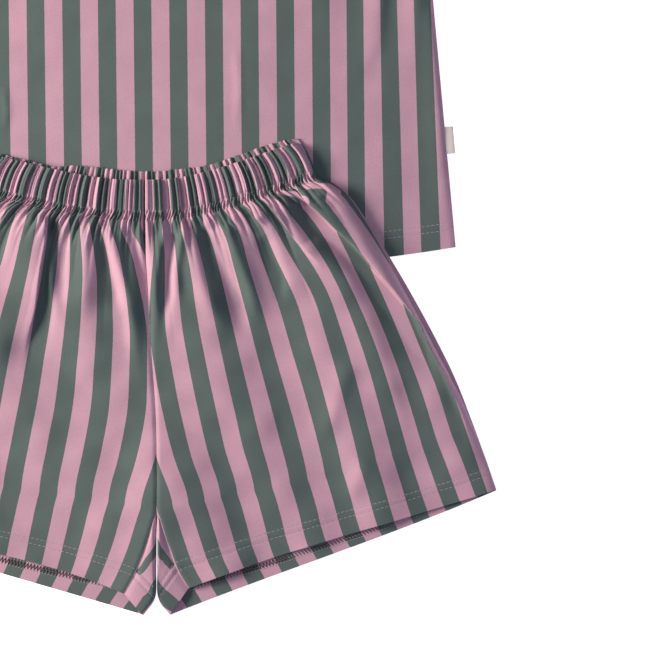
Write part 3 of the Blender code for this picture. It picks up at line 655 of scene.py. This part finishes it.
def frontCloth(side, s, v):  # place on the bolt
    count = curveThrough(stripeShares, along(frontStripes[side], v), s)
    x, y = section(*frontLines(side, v), s)
    _, leanX, leanY = foldsAt(shortsFolds, x, y)
    acrossX, acrossY = drape["across"]
    carried = acrossX * side * leanX + acrossY * leanY  # a leaning fold takes its stripes along
    count += carried / drape["carry"] * outOfCasing(v)
    if side > 0:  # the side overlap hides some stripes in its fold
        beyond = x - level(overlap["edge"], -y)
        count += level(overlap["hidden"], v) * softStep((beyond - 2.0) / 4.0)
    return count * jersey["stripe"], v


panelRows = rowList((34.0, 90.0, 38), (90.0, 346.0, 112), (346.0, 376.0, 30))
casingRows = rowList((0.0, 4.0, 5), (4.0, 24.0, 12), (24.0, 37.0, 14))
# the first rows of a casing turn over the waist edge and run down inside
topRoll = {"radius": 1.3, "inside": 9.0, "rows": 9, "cloth": 0.6}


def rowsAt(rows, t):  # the index of each row, those that roll over first, and its v
    index = np.round(t * (len(rows) - 1 + topRoll["rows"])).astype(int)
    return index, rows[np.maximum(index - topRoll["rows"], 0)]


def rollOver(index, radius, over, y, z, down):  # over: the rows of the roll itself
    rolled = index < topRoll["rows"]
    turn = unit((topRoll["rows"] - index) / over) * math.pi
    return (np.where(rolled, y + radius * np.sin(turn), y),
            np.where(rolled, z - radius * (1.0 - np.cos(turn)), z),
            np.where(rolled, (index - topRoll["rows"]) * topRoll["cloth"], down))


def frontPanelShape(side):
    def shape(s, t):
        v = panelRows[np.round(t * (len(panelRows) - 1)).astype(int)]
        x, y, z = frontPoint(side, s, v)
        z -= 0.5 * softStep((37.5 - v) / 3.0)  # tucked under the casing
        return (x, y, z, *frontCloth(side, s, v))
    return shape


def frontCasingShape(side):
    def shape(s, t):
        index, v = rowsAt(casingRows, t)
        x, y, z = frontPoint(side, s, v)
        across, down = frontCloth(side, s, v)
        y, z, down = rollOver(index, topRoll["radius"], topRoll["rows"] - 2, y, z, down)
        y = np.where(index < 2, y - topRoll["inside"] * (2 - index) / 2, y)
        return x, y, z, across, down
    return shape


backRise = {  # share of the way to the side, how much of the back casing shows
    1: ((0, 8.5), (0.2, 9.0), (0.45, 6.5), (0.8, 8.0), (1, 5.5)),
    -1: ((0, 8.5), (0.3, 10.0), (0.42, 9.0), (0.6, 3.0), (1, 3.0)),
}
backDrape = {
    "riseRun": 60.0,  # the back stands above the front down to here
    "nearHem": (323.0, 17.0), "outside": 1.0, "sag": 0.1,  # its side shows a little at the hem
    "legGap": 0.5, "legRun": 17.0,
    "pleatHeight": 3.0, "pleatStrength": ((0, 0.75), (4, 1), (28, 0.8), (41, 0.5), (56, 0.0)),
}


def backLines(side, v):
    start = np.where((v > crotchV)[..., None], along(innerFolds[side], v), along(centreLine, v))
    start = start * np.array((1.0, 1.0, side))
    end = along(sideLine, v)
    end = (end if side > 0 else mirrored(end)).copy()
    hemStart, run = backDrape["nearHem"]
    nearHem = softStep((v - hemStart) / run)
    end[..., 1] -= backDrape["outside"] * nearHem
    end[..., 2] += side * backDrape["sag"] * nearHem
    return start, end


def backPoint(side, s, v):  # upper face of a back panel, which is its inside
    start, end = backLines(side, v)
    x, y = section(start, end, s)
    y = y + level(backRise[side], s) * softStep(1.0 - v / backDrape["riseRun"])
    gap = drape["seamGap"] + backDrape["legGap"] * softStep((v - crotchV) / backDrape["legRun"])
    x = x + side * gap * (1.0 - s)
    pleats = uneven(side, s, shorts["pleats"], 80, 0.6, 1.15) * softStep((1.0 - s) * 12.0)
    height = wall + backDrape["pleatHeight"] * level(backDrape["pleatStrength"], v) * pleats
    return x, y, ground(x, y) + height


def backCloth(side, s, v):
    return curveThrough(evenShares, along(backStripes[side], v), s) * jersey["stripe"], v


backRows = rowList((0.0, 4.0, 5), (4.0, 60.0, 28), (60.0, 340.0, 60), (340.0, 376.0, 20))


def backPanelShape(side):
    def shape(s, t):
        index, v = rowsAt(backRows, t)
        x, y, z = backPoint(side, s, v)
        room = np.minimum(topRoll["radius"], 0.5 * (z - ground(x, y) - wall))
        across, down = backCloth(side, s, v)
        y, z, down = rollOver(index, room, topRoll["rows"], y, z, down)
        return x, y, z, across, down
    return shape


wrap = {
    "flat": 0.45,  # share of it that lies on the front
    "under": 0.725,  # past this share it is under the leg
    "over": 0.6, "clear": 0.02,  # above the front's edge, and above the table
    "least": 0.3, "belly": 0.8, "seamDip": (1.0, 1.8),
}


def wrapLines(side, v):  # the inseam, the fold of the inner leg, and the way between them
    sewn, fold = along(inseams[side], v), along(innerFolds[side], v)
    span = np.hypot(sewn[..., 0] - fold[..., 0], sewn[..., 1] - fold[..., 1])
    return sewn, fold, np.maximum(span, wrap["least"])


def wrapPoint(side, q, v):  # the back panel's way round the inner leg, from the inseam to the table
    sewn, fold, span = wrapLines(side, v)
    top = frontPoint(side, np.zeros_like(v), v)[2] + wrap["over"]
    bottom = ground(fold[..., 0], fold[..., 1]) + wrap["clear"]
    radius = np.minimum(0.5 * (top - bottom), 0.95 * span) / span
    flat = wrap["flat"]
    turn = math.pi * unit((1.0 - q) / (1.0 - flat))
    share = np.where(q < flat, (1.0 - radius) * q / flat, 1.0 - radius * (1.0 - np.sin(turn)))
    x = sewn[..., 0] + (fold[..., 0] - sewn[..., 0]) * share
    y = sewn[..., 1] + (fold[..., 1] - sewn[..., 1]) * share
    z = bottom + 0.5 * (top - bottom) * (1.0 - np.cos(turn))
    z += wrap["belly"] * np.sin(math.pi * unit(q / 0.7)) * softStep(span / 12.0)
    depth, run = wrap["seamDip"]
    z -= depth * bell(q * span, run)
    z -= hemRelief["dip"] * stitchDip(shorts["length"] - v, shorts["hemRows"]) * (q < 0.5)
    return x + side * drape["seamGap"], y, z


def wrapShape(side):
    table = np.array(wrapStripes[side], dtype=float)

    def shape(s, t):
        v = crotchV + (shorts["length"] - crotchV) * t
        x, y, z = wrapPoint(side, s, v)
        sewn, _, span = wrapLines(side, v)
        share = np.hypot(x - sewn[..., 0], y - sewn[..., 1]) / span
        share = np.where(s > wrap["under"], 1.0, unit(share))
        counts = np.stack([np.interp(v, table[:, 0], column) for column in table.T[1:]], -1)
        # under the leg the count goes over to the back panel's own
        rest = unit((s - wrap["under"]) / (1.0 - wrap["under"]))
        backCount = backCloth(side, np.zeros_like(v), v)[0] / jersey["stripe"]
        count = curveThrough(evenShares, counts, share) + (backCount - counts[..., -1]) * rest
        return x, y, z, count * jersey["stripe"], v
    return shape


names = {1: "left", -1: "right"}
made = {}
for side, word in names.items():
    for key, name, columns, rows, shape, thick in (
            ("casing", "waistCasing", 420, len(casingRows) - 1 + topRoll["rows"],
             frontCasingShape, 0.6),
            ("front", "shortsFront", 230, len(panelRows) - 1, frontPanelShape, wall),
            ("back", "shortsBack", 170, len(backRows) - 1 + topRoll["rows"],
             backPanelShape, wall),
            ("wrap", "innerLeg", 26, 64, wrapShape, wall)):
        made[key, side] = clothGrid(f"{name}_{word}", columns, rows, shape(side), jerseyLook, thick)
print("the shorts are gathered and laid out")

# ---- tee
tee = {
    "halfWidth": teeHemLine["halfWidth"], "armpitX": 243.0, "armpitShare": 0.70, "armholeBow": 16.0,
    "shoulder": (208.0, 428.0), "neckPoint": (86.0, 443.4), "frontDrop": 92.0, "backDrop": 22.0,
    "hemRows": (17.0, 23.3), "hemDepth": 25.0, "stitchDip": 0.28, "band": 16.0, "bandRound": 560.0,
    "sideLength": 560.0, "edgeHeight": 1.9, "edgeRun": 7.0, "armholeGap": 0.6,
    "sleeveTop": 180.0, "sleeveWidth": 146.0, "sleeveDrop": 30.0, "sleeveRound": 320.0,
    # x, and how far the stripes lean there for each millimetre below stripeLevel
    "stripeLevel": 103.0, "stripeShift": 0.9, "narrower": (162.7, 1.06),
    "stripeLean": ((-140, 0.012), (0, 0.01), (126, 0.007), (178, 0.0074), (195, 0.009),
                   (212, 0.017), (227, 0.028), (244, 0.029), (260, 0.04), (280, 0.045)),
}
shortsEdge = ((22, 146), (72, 179), (94, 195), (129, 217), (168, 240))  # -y, x
neckShare = tee["neckPoint"][0] / tee["shoulder"][0]


def sideHeight(share):
    hem = teeHemLine["middle"] + teeHemLine["rise"]
    return hem + (tee["shoulder"][1] - hem) * share


def teeWidth(share):
    t = (share - tee["armpitShare"]) / (1.0 - tee["armpitShare"])
    body = tee["halfWidth"] + (tee["armpitX"] - tee["halfWidth"]) * share / tee["armpitShare"]
    arm = tee["armpitX"] + (tee["shoulder"][0] - tee["armpitX"]) * t
    arm = arm - tee["armholeBow"] * np.sin(math.pi * unit(t))
    return np.where(share <= tee["armpitShare"], body, arm)


def teeTop(c, drop):
    x, top = np.abs(c), tee["neckPoint"][1]
    shoulder = top + (tee["shoulder"][1] - top) / (1.0 - neckShare) * (x - neckShare)
    roundNeck = top - drop * np.sqrt(unit(1.0 - (x / neckShare) ** 2))
    return np.where(x < neckShare, roundNeck, shoulder)


def teeColumns(s, shoulders=0.29):  # columns close together where the neckline is steep
    inNeck = unit((s - shoulders) / (1.0 - 2.0 * shoulders))
    left = -1.0 + (1.0 - neckShare) * s / shoulders
    right = 1.0 - (1.0 - neckShare) * (1.0 - s) / shoulders
    return np.where(s < shoulders, left, np.where(s > 1.0 - shoulders, right,
                                                  -neckShare * np.cos(math.pi * inNeck)))


def shortsMask(x, y):  # 0 where the shorts lie on the tee, 1 clear of them
    above = softStep((y + 12.0) / 24.0)
    beside = softStep((np.abs(x) - level(shortsEdge, -y) - 8.0) / 14.0)
    return np.maximum(above, beside)


def teeCloth(x, y):
    drop = np.clip(tee["stripeLevel"] - y, -60.0, 300.0)
    u = x - level(tee["stripeLean"], x) * drop
    start, squeeze = tee["narrower"]
    u = np.where(u > start, start + (u - start) * squeeze, u)
    return u + tee["stripeShift"] + jersey["stripe"], -y


def teeFrontPoint(c, share):
    x = c * teeWidth(share)
    hem = teeHem(c * tee["halfWidth"])
    y = (1.0 - share) * hem + share * teeTop(c, tee["frontDrop"])
    folds = np.maximum(foldsAt(teeFolds, x, y)[0], 0.0)
    soft = 0.35 + 0.35 * ripple(x, y, 70.0, 21) + 0.12 * ripple(x, y, 26.0, 22)
    z = teeHeight + folds + shortsMask(x, y) * soft
    toHem = y - hem
    z += hemRelief["rise"] * softStep((tee["hemDepth"] - toHem) / hemRelief["edge"])
    z -= tee["stitchDip"] * stitchDip(toHem, tee["hemRows"])
    toSide = (1.0 - np.abs(c)) * teeWidth(share)
    toEdge = np.minimum(toSide, (1.0 - share) * tee["sideLength"] + 3.0)
    low = tee["edgeHeight"]
    return x, y, low + (z - low) * roundEdge(toEdge / tee["edgeRun"])


teeShares = np.concatenate((np.linspace(0.0, 28.0, 29) / tee["sideLength"],
                            np.linspace(0.05, 1.0, 132)[1:]))


def teeFrontShape(s, t):
    share = teeShares[np.round(t * (len(teeShares) - 1)).astype(int)]
    x, y, z = teeFrontPoint(teeColumns(s), share)
    return (x, y, z, *teeCloth(x, y))


def teeBackShape(s, t):
    c = teeColumns(s)
    x = c * teeWidth(t)
    y = (1.0 - t) * teeHem(c * tee["halfWidth"]) + t * teeTop(c, tee["backDrop"])
    return (x, y, np.full_like(x, wall), *teeCloth(x, y))


made["teeFront"] = clothGrid("teeFront", 200, len(teeShares) - 1, teeFrontShape, jerseyLook)
made["teeBack"] = clothGrid("teeBack", 84, 60, teeBackShape, jerseyLook)


def sleevePoint(side, q, t):  # q once round the flattened tube, t from the armhole to the hem
    angle = math.radians(tee["sleeveDrop"])
    sine, cosine = math.sin(angle), math.cos(angle)
    hemTop = np.array(tee["shoulder"]) + tee["sleeveTop"] * np.array((cosine, -sine))
    hemFoot = hemTop - tee["sleeveWidth"] * np.array((sine, cosine))
    k = 0.5 - 0.5 * np.cos(2 * math.pi * q)
    share = 1.0 + (tee["armpitShare"] - 1.0) * k
    cutX, cutY = teeWidth(share) + tee["armholeGap"], sideHeight(share)
    x = cutX * (1.0 - t) + (hemTop[0] + (hemFoot[0] - hemTop[0]) * k) * t
    y = cutY * (1.0 - t) + (hemTop[1] + (hemFoot[1] - hemTop[1]) * k) * t
    swing = np.sin(2 * math.pi * q)
    z = teeHeight / 2 + teeHeight / 2 * np.sign(swing) * np.abs(swing) ** 0.4
    crown = unit(swing) ** 0.8
    z += crown * (0.9 + 0.9 * ripple(x, y, 60.0, 31 + side)) * softStep(t / 0.15)
    return side * x, y, np.maximum(z, 0.0)


def sleeveShape(side):
    def shape(s, t):
        return (*sleevePoint(side, s, t), s * tee["sleeveRound"], t * tee["sleeveTop"])
    return shape


for side, word in names.items():
    made["sleeve", side] = clothGrid(f"teeSleeve_{word}", 96, 64, sleeveShape(side), jerseyLook,
                                     thick=0.8)
print("the tee is laid out")


def bandShape(s, t):  # once round the neck, t across the band
    half = s < 0.5  # the front half
    angle = math.pi * np.where(half, s * 2.0, s * 2.0 - 1.0)
    way = np.where(half, -1.0, 1.0)
    drop = np.where(half, tee["frontDrop"], tee["backDrop"])
    reach = tee["neckPoint"][0] - 0.3
    x = way * reach * np.cos(angle)
    y = tee["neckPoint"][1] + 0.3 - drop * np.sin(angle)
    normalX, normalY = -way * drop * np.cos(angle), reach * np.sin(angle)
    size = np.hypot(normalX, normalY)
    share = np.abs(np.cos(angle)) ** 4  # at the shoulders the band points up and in
    riseX = normalX / size * (1.0 - share) - 0.55 * np.sign(x) * share
    riseY = normalY / size * (1.0 - share) + 0.83 * share
    size = np.hypot(riseX, riseY) / tee["band"]
    x, y = x + riseX / size * t, y + riseY / size * t
    turn = unit(np.minimum(np.abs(s - 0.5), np.minimum(s, 1.0 - s)) / 0.01)
    middle = teeHeight / 2
    z = np.where(half, middle + middle * turn, wall + (middle - wall) * (1.0 - turn))
    z += np.where(half, 0.5 * np.sin(math.pi * unit(t)) * turn, 0.0)
    return x, y, z, s * tee["bandRound"], t * tee["band"]


made["band"] = clothGrid("neckBand", 220, 12, bandShape, ribLook)

label = {"size": (9.0, 25.0), "round": 20.0, "middleY": -21.5, "inSeam": 1.8, "ply": 0.35,
         "loop": 0.62, "curl": 0.25}


def labelShape(s, t):  # a ribbon folded once, its loop towards +X
    share = (label["middleY"] - sideHeight(0.0)) / (sideHeight(1.0) - sideHeight(0.0))
    lean = math.atan2(tee["halfWidth"] - tee["armpitX"],
                      sideHeight(tee["armpitShare"]) - sideHeight(0.0))
    wide, long = label["size"]
    middle = float(teeWidth(np.array(share))) + (wide / 2 - label["inSeam"]) / math.cos(lean)
    px = -wide / 2 + wide * np.abs(np.sin(math.pi * s)) ** 0.8
    py = (t - 0.5) * long
    x = middle + px * math.cos(lean) - py * math.sin(lean)
    y = label["middleY"] + px * math.sin(lean) + py * math.cos(lean)
    z = teeHeight / 2 + 0.1 + label["loop"] * np.cos(math.pi * s)
    return x, y, z + label["curl"] * np.sin(3.0 * t + 0.6), s * label["round"], t * long


made["label"] = clothGrid("sideLabel", 24, 20, labelShape, ribbonLook, thick=label["ply"])
print("the band and label are on")

# ---- sewing
sewing = {
    # kind of stitch: length, gap
    "hem": (3.4, 1.0), "casing": (2.3, 1.1), "cover": (5.5, 0.2), "loops": (1.7, 1.1),
    "thick": 0.55, "across": 1.5,
}


def stitchShape():  # one stitch: a short rounded bar that dips at both ends
    bpy.ops.object.select_all(action="DESELECT")
    bpy.ops.mesh.primitive_uv_sphere_add(segments=6, ring_count=6, radius=0.5)
    seed = bpy.context.active_object
    spots = np.array([tuple(v.co) for v in seed.data.vertices])
    faces = [tuple(p.vertices) for p in seed.data.polygons]
    bpy.data.objects.remove(seed, do_unlink=True)
    bar = np.stack((spots[:, 2], spots[:, 0], spots[:, 1]), -1)
    bar[:, 2] -= 0.9 * bar[:, 0] ** 2
    return bar, faces


stitchBar, stitchFaces = stitchShape()


def at(place, line, spot):  # the point of a line at that length along it
    return np.array([np.interp(spot, place, line[:, i]) for i in range(3)])


def sewStitches(name, seams, look, thick=sewing["thick"]):
    # each seam: points along it, points a little way across it, stitch length and gap
    spots, faces = [], []
    for line, beside, stitch, gap in seams:
        steps = np.linalg.norm(np.diff(line, axis=0), axis=1)
        place = np.concatenate(((0.0,), np.cumsum(steps)))
        count = int(place[-1] / (stitch + gap))
        for centre in (np.arange(count) + 0.5) * (stitch + gap):
            ends = [at(place, line, centre + d) for d in (-stitch / 2, 0.0, stitch / 2)]
            near = at(place, beside, centre)
            way = ends[2] - ends[0]
            long = np.linalg.norm(way)
            if long < 0.3 * stitch:
                continue
            way = way / long
            out = np.cross(way, near - ends[1])
            out = out / np.linalg.norm(out)
            if out[2] < 0:
                out = -out
            side = np.cross(out, way)
            bar = stitchBar * np.array((long * 1.02, thick, thick))
            middle = (ends[0] + ends[1] + ends[2]) / 3 + out * 0.08
            base = len(spots)
            spots += list(middle + bar[:, :1] * way + bar[:, 1:2] * side + bar[:, 2:] * out)
            faces += [tuple(base + i for i in face) for face in stitchFaces]
    mesh = bpy.data.meshes.new(name)
    mesh.from_pydata([tuple(p / 1000) for p in spots], [], faces)
    mesh.materials.append(look)
    mesh.shade_smooth()
    piece = bpy.data.objects.new(name, mesh)
    bpy.context.scene.collection.objects.link(piece)
    return piece


def seam(line, beside, kind):
    return np.stack(line, -1), np.stack(beside, -1), *sewing[kind]


def hemSeams(side):
    seams = []
    for row in shorts["hemRows"]:
        for point, start, end, count in ((frontPoint, 0.004, 0.985, 700),
                                         (wrapPoint, 0.03, 0.62, 160)):
            s = np.linspace(start, end, count)
            v = np.full_like(s, shorts["length"] - row)
            seams.append(seam(point(side, s, v), point(side, s, v + sewing["across"]), "hem"))
    return seams


def casingSeams(side):
    s = np.linspace(0.002, 0.99, 1500)
    rows = [np.full_like(s, row) for row in (shorts["upperRow"], shorts["casing"])]
    return [seam(frontPoint(side, s, v), frontPoint(side, s, v + sewing["across"]), "casing")
            for v in rows]


def coverRow(side, s, toHem):
    toHem = toHem + level(((0, 7), (0.15, 4), (0.3, 1), (0.6, -2)), s)
    x, y, z = backPoint(side, s, shorts["length"] - toHem)
    return x, y, z + 0.12


def coverSeams(side):  # the looper threads that cover the raw edge inside a back hem; the dark ones are made dark as painted shade under the front's hem
    low, high = shorts["coverRows"]
    count = 190
    s = np.linspace(0.0, 0.9, count)
    zigzag = np.where(np.arange(count) % 2 == 0, low, high)
    feet, beside, *kind = seam(coverRow(side, s, zigzag), coverRow(side, s + 0.004, zigzag),
                               "cover")
    across = [(feet[i:i + 2], beside[i:i + 2], *kind) for i in range(count - 1)]
    s = np.linspace(0.0, 0.9, 700)
    rows = [np.full_like(s, row) for row in (low, 0.5 * (low + high), high)]
    return across, [seam(coverRow(side, s, row), coverRow(side, s, row + sewing["across"]), "loops")
                    for row in rows]


def teeHemSeams():
    c = np.linspace(-0.995, 0.995, 1200)
    rows = [np.full_like(c, row / tee["sideLength"]) for row in tee["hemRows"]]
    return [seam(teeFrontPoint(c, row), teeFrontPoint(c, row + 0.003), "hem") for row in rows]


def sleeveHemSeams(side):
    q = np.linspace(0.02, 0.48, 400)
    rows = [np.full_like(q, 1.0 - row / tee["sleeveTop"]) for row in tee["hemRows"]]
    return [seam(sleevePoint(side, q, t), sleevePoint(side, q, t + 0.01), "hem") for t in rows]


for side, word in names.items():
    made["sleeveSewing", side] = sewStitches(f"sleeveHemStitches_{word}", sleeveHemSeams(side),
                                             threadLook)
    made["hemSewing", side] = sewStitches(f"hemStitches_{word}", hemSeams(side), threadLook)
    across, rows = coverSeams(side)
    # dark looper zigzag: real thread, with painted shade in its colour
    made["coverSewing", side] = sewStitches(f"coverThreadsAndShade_{word}", across, coverThreadAndShadeLook, thick=0.8)
    made["coverLoops", side] = sewStitches(f"coverLoops_{word}", rows, loopLook, thick=0.5)
    made["casingSewing", side] = sewStitches(f"casingStitches_{word}", casingSeams(side), loopLook,
                                             thick=0.45)
made["teeSewing"] = sewStitches("teeHemStitches", teeHemSeams(), threadLook)
print("the hems are sewn")

# ---- table
bpy.ops.object.select_all(action="DESELECT")
bpy.ops.mesh.primitive_plane_add(size=6.0, location=(0.0, 0.0, -0.0004))
table = bpy.context.active_object
table.name = "table"
bpy.ops.object.transform_apply(location=True, rotation=True, scale=True)
table.data.materials.append(boardLook)

# ---- hide the parts of model.glb that these pieces replace, and hang every piece on one body
for side, word in names.items():
    for key in ("casing", "front"):
        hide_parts(f"shorts_front_{word}")
    for key in ("back", "wrap"):
        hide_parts(f"shorts_back_{word}")
    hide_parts(f"sleeve_{word}")
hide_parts("shirt_front")
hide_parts("shirt_back")
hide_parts("neckband")
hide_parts("side_label")
for key, piece in made.items():
    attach(piece, "root")
